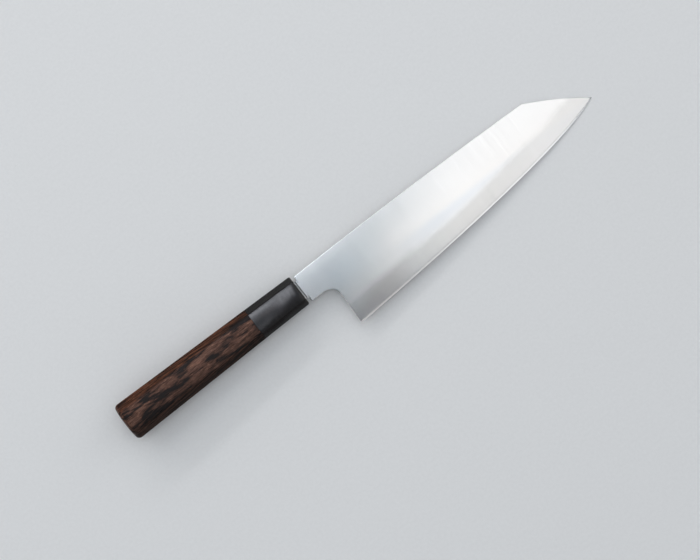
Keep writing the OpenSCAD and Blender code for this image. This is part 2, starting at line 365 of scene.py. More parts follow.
top_of_heel = heel_line_top()
end_of_choil = (
    choil_x + CHOIL_R * math.cos(HEEL_LEAN), choil_y - CHOIL_R * math.sin(HEEL_LEAN))

# The shoulder's line, which also holds the tang's first points
shoulder_top = spine_y(shoulder_x + SHOULDER_R) - SHOULDER_R
shoulder_foot = neck_y + SHOULDER_R
free_span = shoulder_top - shoulder_foot - 2 * RIM[-1]
tang_from = (shoulder_top - RIM[-1] - tang_top) / free_span
tang_to = (shoulder_top - RIM[-1] - tang_bottom) / free_span
neck_shares = sorted(NECK_SHARES + [tang_from, tang_to])
first_tang_row = len(RIM) + neck_shares.index(tang_from)
last_tang_row = len(RIM) + neck_shares.index(tang_to)


def neck_drops(length):
    """Distances down a line of the neck, from the spine's outline to the lower one."""
    near = rim_of(length)
    middle = [mix(near[-1], length - near[-1], s) for s in neck_shares]
    return near + middle + [length - n for n in reversed(near)]


def straight(top, foot):
    """A straight section line of the neck between two points of the outline."""
    length = math.dist(top, foot)
    shares = [d / length for d in neck_drops(length)]
    return [(mix(top[0], foot[0], s), mix(top[1], foot[1], s)) for s in shares]


def shoulder_cut(x):
    """How far the rounded shoulder corners draw the outline in at x."""
    left = max(0.0, SHOULDER_R - (x - shoulder_x))
    return SHOULDER_R - math.sqrt(SHOULDER_R ** 2 - left ** 2)


def neck_lines():
    """Section lines from the shoulder to the heel line, which fan round the choil."""
    lines = []
    for out in NECK_OUT:
        x = shoulder_x + out
        cut = shoulder_cut(x)
        top = shoulder_top if out == 0 else spine_y(x) - cut
        lines.append(straight((x, top), (x, neck_y + cut)))
    for turn in steps(math.pi / 2, -HEEL_LEAN, CHOIL_LINES)[:-1]:
        share = (math.pi / 2 - turn) / (math.pi / 2 + HEEL_LEAN)
        top_x = mix(choil_x, top_of_heel[0], share)
        foot = (choil_x + CHOIL_R * math.cos(turn), choil_y + CHOIL_R * math.sin(turn))
        lines.append(straight((top_x, spine_y(top_x)), foot))
    lines.append(straight(top_of_heel, end_of_choil))
    return lines


def tang_lines(shoulder_line):
    """Section lines of the tang, the last of them points of the shoulder's line."""
    rows = shoulder_line[first_tang_row:last_tang_row + 1]
    lines = []
    thin = steps(TANG_LEN, TANG_BLEND, TANG_LINES)
    for back in thin + steps(TANG_BLEND, 0, TANG_BLEND_LINES)[1:-1]:
        x = shoulder_x - back
        share = back / TANG_LEN
        high = mix(tang_top, tang_mid + TANG_REAR_H / 2, share)
        low = mix(tang_bottom, tang_mid - TANG_REAR_H / 2, share)
        shares = [(tang_top - y) / (tang_top - tang_bottom) for _, y in rows]
        lines.append([(x, mix(high, low, s)) for s in shares])
    return lines + [rows]


def core_line_end():
    """Where the core line runs out through the nose."""
    low, high = nose_x, tip_x
    for _ in range(HALVINGS):
        x = (low + high) / 2
        foot = edge_y(x)
        if top_y(x) - foot > core_line(spine_y(x) - foot):
            low = x
        else:
            high = x
    return low


line_end_x = core_line_end()
lean_run = top_of_heel[0] - heel_x


def blade_stations():
    """Where the section lines stand on the cutting edge, from the heel to the tip."""
    body = steps(heel_x + BODY_OUT, nose_x, BODY_LINES)
    nose = steps(nose_x, line_end_x, NOSE_LINES)[1:]
    end = steps(line_end_x, tip_x, TIP_LINES)[1:]
    return [heel_x + out for out in HEEL_OUT] + body + nose + end


def upper_drops(length, heel_drops, heel_length):
    """Distances down a line of the blade from the spine or nose to the core line."""
    near = rim_of(length)
    heel_near = RIM[-1]
    drops = list(near)
    for drop in heel_drops[len(near):]:
        drops.append(mix(near[-1], length, (drop - heel_near) / (heel_length - heel_near)))
    foot = drops[-1]
    return drops + [mix(foot, length, s) for s in LOWER_SHARES]


def lower_drops(length):
    """Distances down a line of the blade from the core line to the cutting edge."""
    near = rim_of(length)
    bevel = min(BEVEL_H, BEVEL_SHARE * length)
    middle = [mix(near[-1], length - bevel, s) for s in CORE_SHARES]
    return near + middle + [length - bevel, length - bevel / 2, length]


def blade_lines(heel_line):
    """Section lines from the heel line to the tip, in an upper and a lower part."""
    top = top_of_heel[1]
    heel_length = top - heel_y - CORE_LINE_H
    heel_drops = [top - y for _, y in heel_line]
    upper, lower = [], []
    for foot_x in blade_stations():
        lean = lean_run * (1 - ease(clamp01((foot_x - heel_x) / UPRIGHT_OUT)))
        top_x = foot_x + lean
        foot = edge_y(foot_x)
        top = top_y(top_x)
        line_y = min(top, foot + core_line(spine_y(top_x) - foot))
        if foot_x >= line_end_x:
            line_y = top
        whole = max(TINY, top - foot)
        high = [top - d for d in upper_drops(top - line_y, heel_drops, heel_length)]
        low = [line_y - d for d in lower_drops(line_y - foot)]
        upper.append([(mix(foot_x, top_x, (y - foot) / whole), y) for y in high])
        lower.append([(mix(foot_x, top_x, (y - foot) / whole), y) for y in low])
        lower[-1][0] = upper[-1][-1]
    upper[0][:len(heel_line)] = heel_line
    return upper, lower


def above_core_line(x, y):
    """Height in millimetres above the line where the cladding ends."""
    foot = edge_y(x)
    return y - foot - core_line(spine_y(x) - foot)


class Sheet:
    """A plan of the blade: points and faces that a solid layer is raised from."""

    def __init__(self):
        self.points = []
        self.faces = []
        self.found = {}

    def point(self, x, y):
        """The number of a point, which lines that meet there share."""
        key = (round(x, PLACE_DIGITS), round(y, PLACE_DIGITS))
        if key not in self.found:
            self.found[key] = len(self.points)
            self.points.append((x, y))
        return self.found[key]

    def grid(self, lines):
        """Faces between neighbouring section lines, triangles where two points meet."""
        for left, right in zip(lines, lines[1:]):
            for k in range(len(left) - 1):
                face = []
                for corner in (left[k + 1], right[k + 1], right[k], left[k]):
                    i = self.point(*corner)
                    if i not in face:
                        face.append(i)
                if len(face) > 2:
                    self.faces.append(face)

    def solid(self, name, top, bottom):
        """A closed mesh between two heights, each a function of a point of the plan."""
        count = len(self.points)
        verts = [place(x, y, top(x, y)) for x, y in self.points]
        verts += [place(x, y, bottom(x, y)) for x, y in self.points]
        faces = [list(f) for f in self.faces]
        faces += [[i + count for i in reversed(f)] for f in self.faces]
        ways = {(a, b) for f in self.faces for a, b in zip(f, f[1:] + f[:1])}
        for a, b in sorted(ways):
            if (b, a) not in ways:
                faces.append([b, a, a + count, b + count])
        piece = make_mesh(name, verts, faces)
        heights = [above_core_line(*unplace(v.co)) for v in piece.data.vertices]
        layer = piece.data.attributes.new(ABOVE, "FLOAT", "POINT")
        layer.data.foreach_set("value", heights)
        return piece


# Distances in metres at which points are joined, and the angle from which an edge is sharp
JOINED = 2e-7
COLLAPSED = 1e-8
SHARP = math.radians(30)


def make_mesh(name, verts, faces):
    """A closed smooth-shaded object, cleared of what joining its points leaves over."""
    mesh = bpy.data.meshes.new(name)
    mesh.from_pydata([tuple(v) for v in verts], [], faces)
    bm = bmesh.new()
    bm.from_mesh(mesh)
    bmesh.ops.remove_doubles(bm, verts=bm.verts, dist=JOINED)
    bmesh.ops.dissolve_degenerate(bm, dist=COLLAPSED, edges=bm.edges)
    # Where a layer thins out to nothing, one face is left over that closes nothing
    fins = [f for f in bm.faces if any(len(e.link_faces) == 1 for e in f.edges)]
    bmesh.ops.delete(bm, geom=fins, context="FACES")
    loose = [v for v in bm.verts if not v.link_faces]
    bmesh.ops.delete(bm, geom=loose, context="VERTS")
    bmesh.ops.recalc_face_normals(bm, faces=bm.faces)
    bm.to_mesh(mesh)
    bm.free()
    for polygon in mesh.polygons:
        polygon.use_smooth = True
    mesh.set_sharp_from_angle(angle=SHARP)
    piece = bpy.data.objects.new(name, mesh)
    bpy.context.scene.collection.objects.link(piece)
    return piece


def build_blade():
    """Two cladding layers that end at the core line, and the core between and below them."""
    neck = neck_lines()
    tang = tang_lines(neck[0])
    upper, lower = blade_lines(neck[-1])
    clad = Sheet()
    core = Sheet()
    for sheet in (clad, core):
        sheet.grid(tang)
        sheet.grid(neck)
        sheet.grid(upper)
    core.grid(lower)

    def outer(x, y):
        return max(core_half(x), surface_half(x, y))

    def middle(x, y):
        return min(core_half(x), surface_half(x, y))

    right = clad.solid("cladding_right_ground", outer, lambda x, y: core_half(x))
    left = clad.solid(
        "cladding_left_ground", lambda x, y: -core_half(x), lambda x, y: -outer(x, y))
    hard = core.solid("core_ground", middle, lambda x, y: -middle(x, y))
    return right, left, hard


class FacetPair:
    """Half extent of a pair of the handle's facets at each x, between dome, rims and side."""

    def __init__(self, front_half, butt_half):
        self.front_half = front_half
        self.slope = (front_half - butt_half) / HANDLE_LEN
        tilt = math.hypot(1, self.slope)
        side = math.atan2(1, -self.slope)
        self.dome_r = butt_half ** 2 / 2 / BUTT_DOME + BUTT_DOME / 2
        self.dome_x = self.dome_r - HANDLE_LEN
        reach = butt_half + self.slope * self.dome_r - BUTT_ROUND * tilt
        inner = ((self.dome_r - BUTT_ROUND) * tilt) ** 2 - reach ** 2
        back = -(reach * self.slope + math.sqrt(inner)) / tilt ** 2
        self.rim_x = self.dome_x + back
        self.rim_y = reach + self.slope * back
        self.rim_from = math.atan2(self.rim_y, back)
        self.dome_end = self.rim_x + BUTT_ROUND * math.cos(self.rim_from)
        self.rim_end = self.rim_x + BUTT_ROUND * math.cos(side)
        self.front_y = front_half - self.slope * FRONT_ROUND - FRONT_ROUND * tilt
        self.front_from = -FRONT_ROUND + FRONT_ROUND * math.cos(side)
        self.side = side

    def half(self, x):
        if x < self.dome_end:
            return math.sqrt(max(0.0, self.dome_r ** 2 - (x - self.dome_x) ** 2))
        if x < self.rim_end:
            return self.rim_y + math.sqrt(BUTT_ROUND ** 2 - (x - self.rim_x) ** 2)
        if x <= self.front_from:
            return self.front_half + self.slope * x
        return self.front_y + math.sqrt(max(0.0, FRONT_ROUND ** 2 - (x + FRONT_ROUND) ** 2))


front_corner = (FRONT_H + FRONT_T - 2 * FRONT_BEVEL) / 2 / math.sqrt(2)
butt_corner = (BUTT_H + BUTT_T - 2 * BUTT_BEVEL) / 2 / math.sqrt(2)
tall_pair = FacetPair(FRONT_H / 2, BUTT_H / 2)
broad_pair = FacetPair(FRONT_T / 2, BUTT_T / 2)
corner_pair = FacetPair(front_corner, butt_corner)


def handle_ring(x, inset=0.0):
    """A ring round the handle: an octagon with crowned facets and softened corners."""
    tall, broad, corner = (p.half(x) - inset for p in (tall_pair, broad_pair, corner_pair))
    soft = min(FACET_EASE, FACET_EASE_SHARE * broad)
    halves = [broad, corner, tall, corner] * 2
    turns = [math.pi / 2 - k * math.pi / 4 for k in range(8)]

    def width(k):
        return 2 * (halves[k - 1] * math.sqrt(2) - halves[k])

    crowns = [width(k) ** 2 / 8 / FACET_CROWN_R for k in range(8)]
    reach = [half - crown - soft for half, crown in zip(halves, crowns)]
    arcs = []
    for k, a in enumerate(turns):
        b = a - math.pi / 4
        far = reach[(k + 1) % 8]
        y = (reach[k] * math.sin(b) - far * math.sin(a)) / math.sin(b - a)
        z = (far * math.cos(a) - reach[k] * math.cos(b)) / math.sin(b - a)
        arcs.append([(y + soft * math.cos(t), z + soft * math.sin(t))
                     for t in steps(a, b, EASE_STEPS)])
    ring = []
    for k, arc in enumerate(arcs):
        after = (k + 1) % 8
        ring += arc
        for s in steps(0, 1, FLAT_STEPS)[1:-1]:
            rise = crowns[after] * 4 * s * (1 - s)
            y = mix(arc[-1][0], arcs[after][0][0], s) + rise * math.cos(turns[after])
            z = mix(arc[-1][1], arcs[after][0][1], s) + rise * math.sin(turns[after])
            ring.append((y, z))
    return ring


def circle_ring(like, radius):
    """A round ring with each point beside one of another ring's."""
    turns = [math.atan2(z, y) for y, z in like]
    return [(radius * math.cos(t), radius * math.sin(t)) for t in turns]


def tang_y(x, front, side):
    """Height of the tang's upper or lower edge at x, from its height at the shoulder."""
    return mix(front, tang_mid + side * TANG_REAR_H / 2, (shoulder_x - x) / TANG_LEN)


def slot_ring(like):
    """A ring on the slot's rectangle, with four of its points at the corners."""
    low = tang_y(0, tang_bottom, -1) - SLOT_GAP
    high = tang_y(0, tang_top, 1) + SLOT_GAP
    half = spine_half(0) + SLOT_GAP
    mid = (low + high) / 2
    span = (high - low) / 2
    ring = []
    for y, z in like:
        scale = min(span / max(TINY, abs(y)), half / max(TINY, abs(z)))
        ring.append((mid + y * scale, z * scale))
    for corner in [(mid + sy * span, sz * half) for sy in (1, -1) for sz in (1, -1)]:
        near = min(range(len(ring)), key=lambda i: math.dist(ring[i], corner))
        ring[near] = corner
    return ring


def loft(name, rings, closed=False):
    """A mesh through rings of (x, points), with flat ends unless it closes on itself."""
    count = len(rings[0][1])
    verts = [place(x, y, z) for x, ring in rings for y, z in ring]
    faces = []
    pairs = list(zip(range(len(rings)), range(1, len(rings))))
    if closed:
        pairs.append((len(rings) - 1, 0))
    for a, b in pairs:
        for k in range(count):
            n = (k + 1) % count
            faces.append([a * count + k, a * count + n, b * count + n, b * count + k])
    if not closed:
        faces.append(list(range(count)))
        faces.append([(len(rings) - 1) * count + k for k in range(count)])
    return make_mesh(name, verts, faces)


tang_reach = max(
    abs(tang_y(-FERRULE_WALL, tang_top, 1)), abs(tang_y(-FERRULE_WALL, tang_bottom, -1)))
bore_r = math.hypot(tang_reach, spine_half(-FERRULE_WALL)) + DOWEL_MARGIN + GLUE_GAP
bore_end_x = tang_end_x - SLOT_GAP - DOWEL_END - BORE_RELIEF

# How many steps the handle's rings take round its rims and along its sides
FRONT_RIM_STEPS = 8
BUTT_RIM_STEPS = 10
DOME_STEPS = 9
FERRULE_STEPS = 12
HANDLE_STEPS = 30


def build_ferrule():
    """The ferrule's shell: its outside, its blind bore and the slot through its front."""
    front = [FRONT_ROUND * (math.cos(t) - 1) for t in steps(0, tall_pair.side, FRONT_RIM_STEPS)]
    along = steps(front[-1], -FERRULE_LEN + SEAM_EASE, FERRULE_STEPS)[1:]
    rings = [(x, handle_ring(x)) for x in front + along]
    rings.append((-FERRULE_LEN, handle_ring(-FERRULE_LEN, SEAM_EASE)))
    base = handle_ring(-FERRULE_LEN)
    rings.append((-FERRULE_LEN, circle_ring(base, bore_r)))
    rings.append((-FERRULE_WALL, circle_ring(base, bore_r)))
    rings.append((-FERRULE_WALL, slot_ring(base)))
    rings.append((0.0, slot_ring(base)))
    return loft("ferrule_horn", rings, closed=True)


def build_handle():
    """The wooden body, from the end of its blind bore out and back to the butt's dome."""
    base = handle_ring(-FERRULE_LEN)
    rings = [(bore_end_x, circle_ring(base, bore_r))]
    rings.append((-FERRULE_LEN, circle_ring(base, bore_r)))
    rings.append((-FERRULE_LEN, handle_ring(-FERRULE_LEN, SEAM_EASE)))
    side = steps(-FERRULE_LEN - SEAM_EASE, tall_pair.rim_end, HANDLE_STEPS)
    rim = steps(tall_pair.side, tall_pair.rim_from, BUTT_RIM_STEPS)[1:]
    dome = steps(tall_pair.rim_from, math.pi, DOME_STEPS)[1:-1]
    xs = side + [tall_pair.rim_x + BUTT_ROUND * math.cos(t) for t in rim]
    xs += [tall_pair.dome_x + tall_pair.dome_r * math.cos(t) for t in dome]
    rings += [(x, handle_ring(x)) for x in xs]
    return loft("handle_wood", rings)


# Range that a noise keeps to, nearly everywhere
NOISE_RANGE = (0.3, 0.7)
UNTINTED = (1.0, 1.0, 1.0)


class Nodes:
    """Short calls for one material's node tree."""

    def __init__(self, name):
        self.material = bpy.data.materials.new(name)
        self.material.use_nodes = True
        self.tree = self.material.node_tree
        self.shader = self.tree.nodes["Principled BSDF"]
        self.where = self.add("ShaderNodeTexCoord").outputs["Object"]

    def add(self, kind, **values):
        node = self.tree.nodes.new(kind)
        for key, value in values.items():
            setattr(node, key, value)
        return node

    def link(self, source, target):
        self.tree.links.new(source, target)

    def stretched(self, x, y, z):
        """Object coordinates multiplied along each axis."""
        node = self.add("ShaderNodeMapping", vector_type="POINT")
        node.inputs["Scale"].default_value = (x, y, z)
        self.link(self.where, node.inputs["Vector"])
        return node.outputs["Vector"]

    def axis(self, name):
        """One coordinate in the frame, in metres."""
        node = self.add("ShaderNodeSeparateXYZ")
        self.link(self.where, node.inputs["Vector"])
        return node.outputs[name]

    def along_knife(self):
        """The knife's own x, in millimetres."""
        return self.math("MULTIPLY_ADD", self.axis("X"), 1 / MM, mid_x)

    def across_knife(self):
        """The knife's own y, in millimetres."""
        return self.math("MULTIPLY_ADD", self.axis("Y"), 1 / MM, mid_y)

    def math(self, way, *values):
        """A sum of linked values and fixed ones, done in the given way."""
        node = self.add("ShaderNodeMath", operation=way)
        for socket, value in zip(node.inputs, values):
            if isinstance(value, (int, float)):
                socket.default_value = value
            else:
                self.link(value, socket)
        return node.outputs["Value"]

    def times(self, first, *others):
        for other in others:
            first = self.math("MULTIPLY", first, other)
        return first

    def plus(self, first, *others):
        for other in others:
            first = self.math("ADD", first, other)
        return first

    def noise(self, vector, detail=4.0, rough=0.5, distort=0.0):
        node = self.add("ShaderNodeTexNoise")
        node.inputs["Scale"].default_value = 1.0
        node.inputs["Detail"].default_value = detail
        node.inputs["Roughness"].default_value = rough
        node.inputs["Distortion"].default_value = distort
        self.link(vector, node.inputs["Vector"])
        return node.outputs["Fac"]

    def ramp(self, value, stops):
        """A colour that goes from stop to stop, each a place and a colour."""
        node = self.add("ShaderNodeValToRGB")
        elements = node.color_ramp.elements
        while len(elements) < len(stops):
            elements.new(0.5)
        for element, (place_at, colour) in zip(elements, stops):
            element.position = place_at
            element.color = (*colour, 1.0)
        self.link(value, node.inputs["Fac"])
        return node.outputs["Color"]

    def spread(self, value, low, high, start=NOISE_RANGE[0], end=NOISE_RANGE[1], way="LINEAR"):
        """A value from low to high while the given one goes from start to end."""
        node = self.add("ShaderNodeMapRange", interpolation_type=way)
        node.inputs["From Min"].default_value = start
        node.inputs["From Max"].default_value = end
        node.inputs["To Min"].default_value = low
        node.inputs["To Max"].default_value = high
        self.link(value, node.inputs["Value"])
        return node.outputs["Result"]

    def share(self, value, start, end, way="LINEAR"):
        """A share that is nothing at start and one at end."""
        return self.spread(value, 0.0, 1.0, start, end, way)

    def window(self, value, rise, full, fall, end):
        """A share that rises to one, stays and falls to nothing again."""
        return self.times(self.share(value, rise, full), self.spread(value, 1.0, 0.0, fall, end))

    def blend(self, share, a, b, way="MIX"):
        """Two linked colours mixed by a linked share, or by a fixed one."""
        node = self.add("ShaderNodeMix", data_type="RGBA", blend_type=way)
        if isinstance(share, float):
            node.inputs["Factor"].default_value = share
        else:
            self.link(share, node.inputs["Factor"])
        self.link(a, node.inputs["A"])
        self.link(b, node.inputs["B"])
        return node.outputs["Result"]

    def washed(self, colour, tint):
        """A linked colour multiplied by another one."""
        return self.blend(1.0, colour, tint, "MULTIPLY")

    def mixed(self, share, a, b):
        """Two fixed colours mixed by a linked share."""
        node = self.add("ShaderNodeMix", data_type="RGBA")
        node.inputs["A"].default_value = (*a, 1.0)
        node.inputs["B"].default_value = (*b, 1.0)
        self.link(share, node.inputs["Factor"])
        return node.outputs["Result"]

    def tinted(self, shade, colour):
        """A colour made lighter or darker by a linked value."""
        node = self.add("ShaderNodeVectorMath", operation="SCALE")
        self.link(colour, node.inputs["Vector"])
        self.link(shade, node.inputs["Scale"])
        return node.outputs["Vector"]

    def turned(self, direction):
        """A direction of the object as the shader needs it, in the world."""
        node = self.add(
            "ShaderNodeVectorTransform", vector_type="VECTOR",
            convert_from="OBJECT", convert_to="WORLD")
        node.inputs["Vector"].default_value = direction
        return node.outputs["Vector"]

    def bump(self, value, strength, depth):
        """Relief as deep as depth, in metres, where the linked value goes from 0 to 1."""
        node = self.add("ShaderNodeBump")
        node.inputs["Strength"].default_value = strength
        node.inputs["Distance"].default_value = depth
        self.link(value, node.inputs["Height"])
        self.link(node.outputs["Normal"], self.shader.inputs["Normal"])

    def set(self, **values):
        """Fixed values of the shader's own sockets, named with _ for each space."""
        for key, value in values.items():
            self.shader.inputs[key.replace("_", " ")].default_value = value

    def feed(self, key, source):
        self.link(source, self.shader.inputs[key])


# Grinding lines, broader bands of them and soft clouds, in waves to a metre along each axis
GRIND_LINES = (1300, 9, 9)
GRIND_BANDS = (260, 5, 5)
STEEL_CLOUDS = (20, 34, 34)
CLOUD_SHARE = 0.6

# How far the lines, the bands and the clouds darken the steel and vary its roughness
LINE_SHADE = 0.92
WORN_SHADE = 0.95
WORN_RANGE = (0.35, 0.6)
ROUGH_VARIES = 0.03
LINE_STRENGTH = 0.1
LINE_DEPTH = 0.00003
BRUSHED = 0.6

# Colours of the ground faces; of a soft band on them, which is a painted reflection; of the core,
# its own duller steel with a painted reflection in it; of painted shade on the core at the heel; and
# the tints of painted shade by the spine and of a painted cooler reflection by the choil
FACE_TONE = (0.820, 0.805, 0.788)
PAINTED_REFLECTION_BAND = (0.755, 0.765, 0.780)
CORE_AND_REFLECTION_TONE = (0.630, 0.622, 0.612)
HEEL_PAINTED_SHADE = (0.545, 0.490, 0.468)
SPINE_PAINTED_SHADE = (0.90, 0.915, 0.915)
CHOIL_PAINTED_REFLECTION = (0.905, 0.95, 0.975)

# Places, in millimetres, between which those tones change
BAND_ACROSS = (-13.5, -17.5)
BAND_ALONG = (60.0, 95.0)
HEEL_PAINTED_SHADE_ALONG = (70.0, 20.0)
SPINE_PAINTED_SHADE_ACROSS = (-10.0, 2.0)
SPINE_PAINTED_SHADE_ALONG = (115.0, 65.0)
CHOIL_PAINTED_REFLECTION_ACROSS = (-26.0, -12.0, -6.0, 8.0)
CHOIL_PAINTED_REFLECTION_ALONG = (2.0, 24.0, 34.0, 68.0)

# The core's tone, with the painted reflection in it: where it starts below the core line, and how
# strong it is along the blade
CORE_AND_REFLECTION_TONE_ABOVE = (4.4, -1.8)
CORE_AND_REFLECTION_TONE_BACK = 0.4
CORE_AND_REFLECTION_TONE_ALONG = (22.0, 50.0)
CORE_AND_REFLECTION_TONE_FRONT = 0.7
CORE_AND_REFLECTION_TONE_FADE = (120.0, 190.0)

# How the tone's start wanders, widens and drops at the heel, and drops again further on
LINE_WANDER = 1.0
HEEL_WIDENS = 0.3
HEEL_DROP = 2.4
HEEL_ALONG = (22.0, 65.0)
FRONT_DROP = 2.0
FRONT_ALONG = (50.0, 85.0)

# Painted shade on the tang in the gap behind the shoulder, darkest in a narrow strip of its bare
# part
GAP_STRIP_SHADE = 0.15
GAP_STRIP_ALONG = (0.6, 0.9, 1.3, 1.6)
TANG_SHADE = 0.55
TANG_ALONG = (0.7, 1.6)


def core_and_reflection_share(n, along, clouds):
    """How much of the core's duller tone and its painted reflection shows, from a soft wandering
    line downwards.
    """
    above = n.add("ShaderNodeAttribute", attribute_name=ABOVE).outputs["Fac"]
    height = n.plus(
        n.times(above, n.spread(along, HEEL_WIDENS, 1.0, *HEEL_ALONG)),
        n.spread(along, HEEL_DROP, 0.0, *HEEL_ALONG),
        n.spread(along, 0.0, FRONT_DROP, *FRONT_ALONG),
        n.spread(clouds, -LINE_WANDER, LINE_WANDER))
    return n.times(
        n.share(height, *CORE_AND_REFLECTION_TONE_ABOVE, "SMOOTHSTEP"),
        n.spread(along, CORE_AND_REFLECTION_TONE_BACK, 1.0, *CORE_AND_REFLECTION_TONE_ALONG),
        n.spread(along, 1.0, CORE_AND_REFLECTION_TONE_FRONT, *CORE_AND_REFLECTION_TONE_FADE))


def steel_tone(n, along, across, clouds):
    """Colour of the steel at each place of the blade, with its painted reflections and painted
    shade, before its grinding shades it.
    """
    # Painted reflection: a soft cooler band towards the edge, further along the blade
    band = n.times(n.share(across, *BAND_ACROSS), n.share(along, *BAND_ALONG))
    face = n.mixed(band, FACE_TONE, PAINTED_REFLECTION_BAND)
    # Painted shade on the core towards the heel
    core = n.mixed(n.share(along, *HEEL_PAINTED_SHADE_ALONG), CORE_AND_REFLECTION_TONE, HEEL_PAINTED_SHADE)
    # The core's own duller steel and a painted reflection, shown below the wandering line
    tone = n.blend(core_and_reflection_share(n, along, clouds), face, core)
    # Painted cooler reflection by the choil
    choil_reflection_share = n.times(n.window(across, *CHOIL_PAINTED_REFLECTION_ACROSS), n.window(along, *CHOIL_PAINTED_REFLECTION_ALONG))
    # Painted shade, a little cooler, on the blade's upper part by the spine, fading towards the tip
    spine_shade_share = n.times(n.share(across, *SPINE_PAINTED_SHADE_ACROSS), n.share(along, *SPINE_PAINTED_SHADE_ALONG))
    tone = n.washed(tone, n.mixed(choil_reflection_share, UNTINTED, CHOIL_PAINTED_REFLECTION))
    return n.washed(tone, n.mixed(spine_shade_share, UNTINTED, SPINE_PAINTED_SHADE))


def tang_shade(n, along):
    """Share of its brightness that the steel keeps behind the shoulder: painted shade in the gap,
    darkest in a narrow strip.
    """
    gap_strip = n.spread(n.window(along, *GAP_STRIP_ALONG), 1.0, GAP_STRIP_SHADE, 0.0, 1.0)
    return n.times(gap_strip, n.spread(along, TANG_SHADE, 1.0, *TANG_ALONG))


def steel(name, rough):
    """Satin steel, ground across the blade in fine straight lines of uneven depth."""
    n = Nodes(name)
    lines = n.noise(n.stretched(*GRIND_LINES), detail=3)
    bands = n.noise(n.stretched(*GRIND_BANDS), detail=3)
    clouds = n.noise(n.stretched(*STEEL_CLOUDS), detail=2)
    along = n.along_knife()
    worn = n.plus(n.times(bands, 1 - CLOUD_SHARE), n.times(clouds, CLOUD_SHARE))
    # The grinding's own uneven tone, times the painted shade on the tang behind the shoulder
    shade = n.times(
        n.spread(worn, WORN_SHADE, 1.0, *WORN_RANGE), n.spread(lines, LINE_SHADE, 1.0),
        tang_shade(n, along))
    n.feed("Base Color", n.tinted(shade, steel_tone(n, along, n.across_knife(), clouds)))
    n.feed("Roughness", n.spread(bands, (1 - ROUGH_VARIES) * rough, (1 + ROUGH_VARIES) * rough))
    n.feed("Tangent", n.turned((1.0, 0.0, 0.0)))
    n.set(Metallic=1.0, Anisotropic=BRUSHED)
    n.bump(lines, LINE_STRENGTH, LINE_DEPTH)
    return n.material


# The dark wood's grain, in waves to a metre along each axis
FLAMES = (17, 320, 1100)
SWIRL = (13, 70, 70)
THREADS = (150, 1900, 1900)
FLECKS = (420, 1500, 1500)
PORES = (300, 2600, 2600)

# Layers of growth through the thickness, to a metre, and how far the swirl shifts them
LAYERS = 700.0
LAYER_SWIRL = 9.0
LAYER_RANGE = (-1.0, 1.0)

# Shares of the flames, layers and threads in the grain, and the colours it goes through
FLAME_SHARE = 0.55
LAYER_SHARE = 0.17
THREAD_SHARE = 0.28
BROWNS = [
    (0.43, (0.007, 0.0045, 0.004)),
    (0.462, (0.012, 0.0065, 0.005)),
    (0.486, (0.039, 0.018, 0.012)),
    (0.53, (0.069, 0.033, 0.022)),
    (0.62, (0.132, 0.066, 0.046)),
]
FLECK_TINTS = [(0.56, UNTINTED), (0.68, (1.9, 1.8, 1.7))]

# Painted shade and light across the wood: darker towards the belly, lighter towards the back, and a
# darker, redder upper bevel; places in millimetres
BELLY_PAINTED_SHADE = 0.38
BACK_PAINTED_LIGHT = 1.68
PAINTED_SHADE_ACROSS = (-10.05, 5.95)
BEVEL_ACROSS = (6.45, 8.45)
BEVEL_PAINTED_SHADE = 0.58
BEVEL_PAINTED_TINT = (1.05, 0.78, 0.58)

WOOD_ROUGH = (0.24, 0.38)
WOOD_SPECULAR = 0.13
PORE_RANGE = (0.32, 0.42)
PORE_STRENGTH = 0.3
PORE_DEPTH = 0.00008


def wood_streaked():
    """Dark wood in layers, with black flames, pores and fine fibres along the handle."""
    n = Nodes("dark_wood_oiled")
    flames = n.noise(n.stretched(*FLAMES), detail=4, rough=0.55, distort=0.5)
    swirl = n.noise(n.stretched(*SWIRL), detail=2)
    threads = n.noise(n.stretched(*THREADS), detail=3, rough=0.6)
    flecks = n.noise(n.stretched(*FLECKS), detail=2)
    pores = n.noise(n.stretched(*PORES), detail=2)
    layers = n.plus(n.times(swirl, LAYER_SWIRL), n.times(n.axis("Z"), LAYERS))
    rings = n.spread(n.math("SINE", n.times(layers, 2 * math.pi)), *NOISE_RANGE, *LAYER_RANGE)
    grain = n.plus(
        n.times(flames, FLAME_SHARE), n.times(rings, LAYER_SHARE), n.times(threads, THREAD_SHARE))
    across = n.across_knife()
    # Painted shade across the handle: darker towards the belly, lighter towards the back, darker
    # again on the upper bevel
    shade = n.times(
        n.spread(across, BELLY_PAINTED_SHADE, BACK_PAINTED_LIGHT, *PAINTED_SHADE_ACROSS),
        n.spread(across, 1.0, BEVEL_PAINTED_SHADE, *BEVEL_ACROSS))
    # Painted shade: the upper bevel tinted darker red
    brown = n.washed(
        n.ramp(grain, BROWNS), n.mixed(n.share(across, *BEVEL_ACROSS), UNTINTED, BEVEL_PAINTED_TINT))
    n.feed("Base Color", n.tinted(shade, n.washed(brown, n.ramp(flecks, FLECK_TINTS))))
    n.feed("Roughness", n.spread(threads, *WOOD_ROUGH))
    n.set(Specular_IOR_Level=WOOD_SPECULAR)
    n.bump(n.share(pores, *PORE_RANGE), PORE_STRENGTH, PORE_DEPTH)
    return n.material


# The horn's streaks, scuffs and swells, in waves to a metre along each axis
HORN_STREAKS = (30, 300, 300)
HORN_SCUFFS = (900, 160, 160)
HORN_SWELLS = (38, 60, 60)
BLACKS = [(0.4, (0.004, 0.003, 0.003)), (0.62, (0.008, 0.005, 0.004)), (0.75, (0.020, 0.012, 0.008))]
HORN_ROUGH = (0.13, 0.19)
HORN_IOR = 1.46
SCUFF_SHARE = 0.004
SWELL_DEPTH = 0.0004


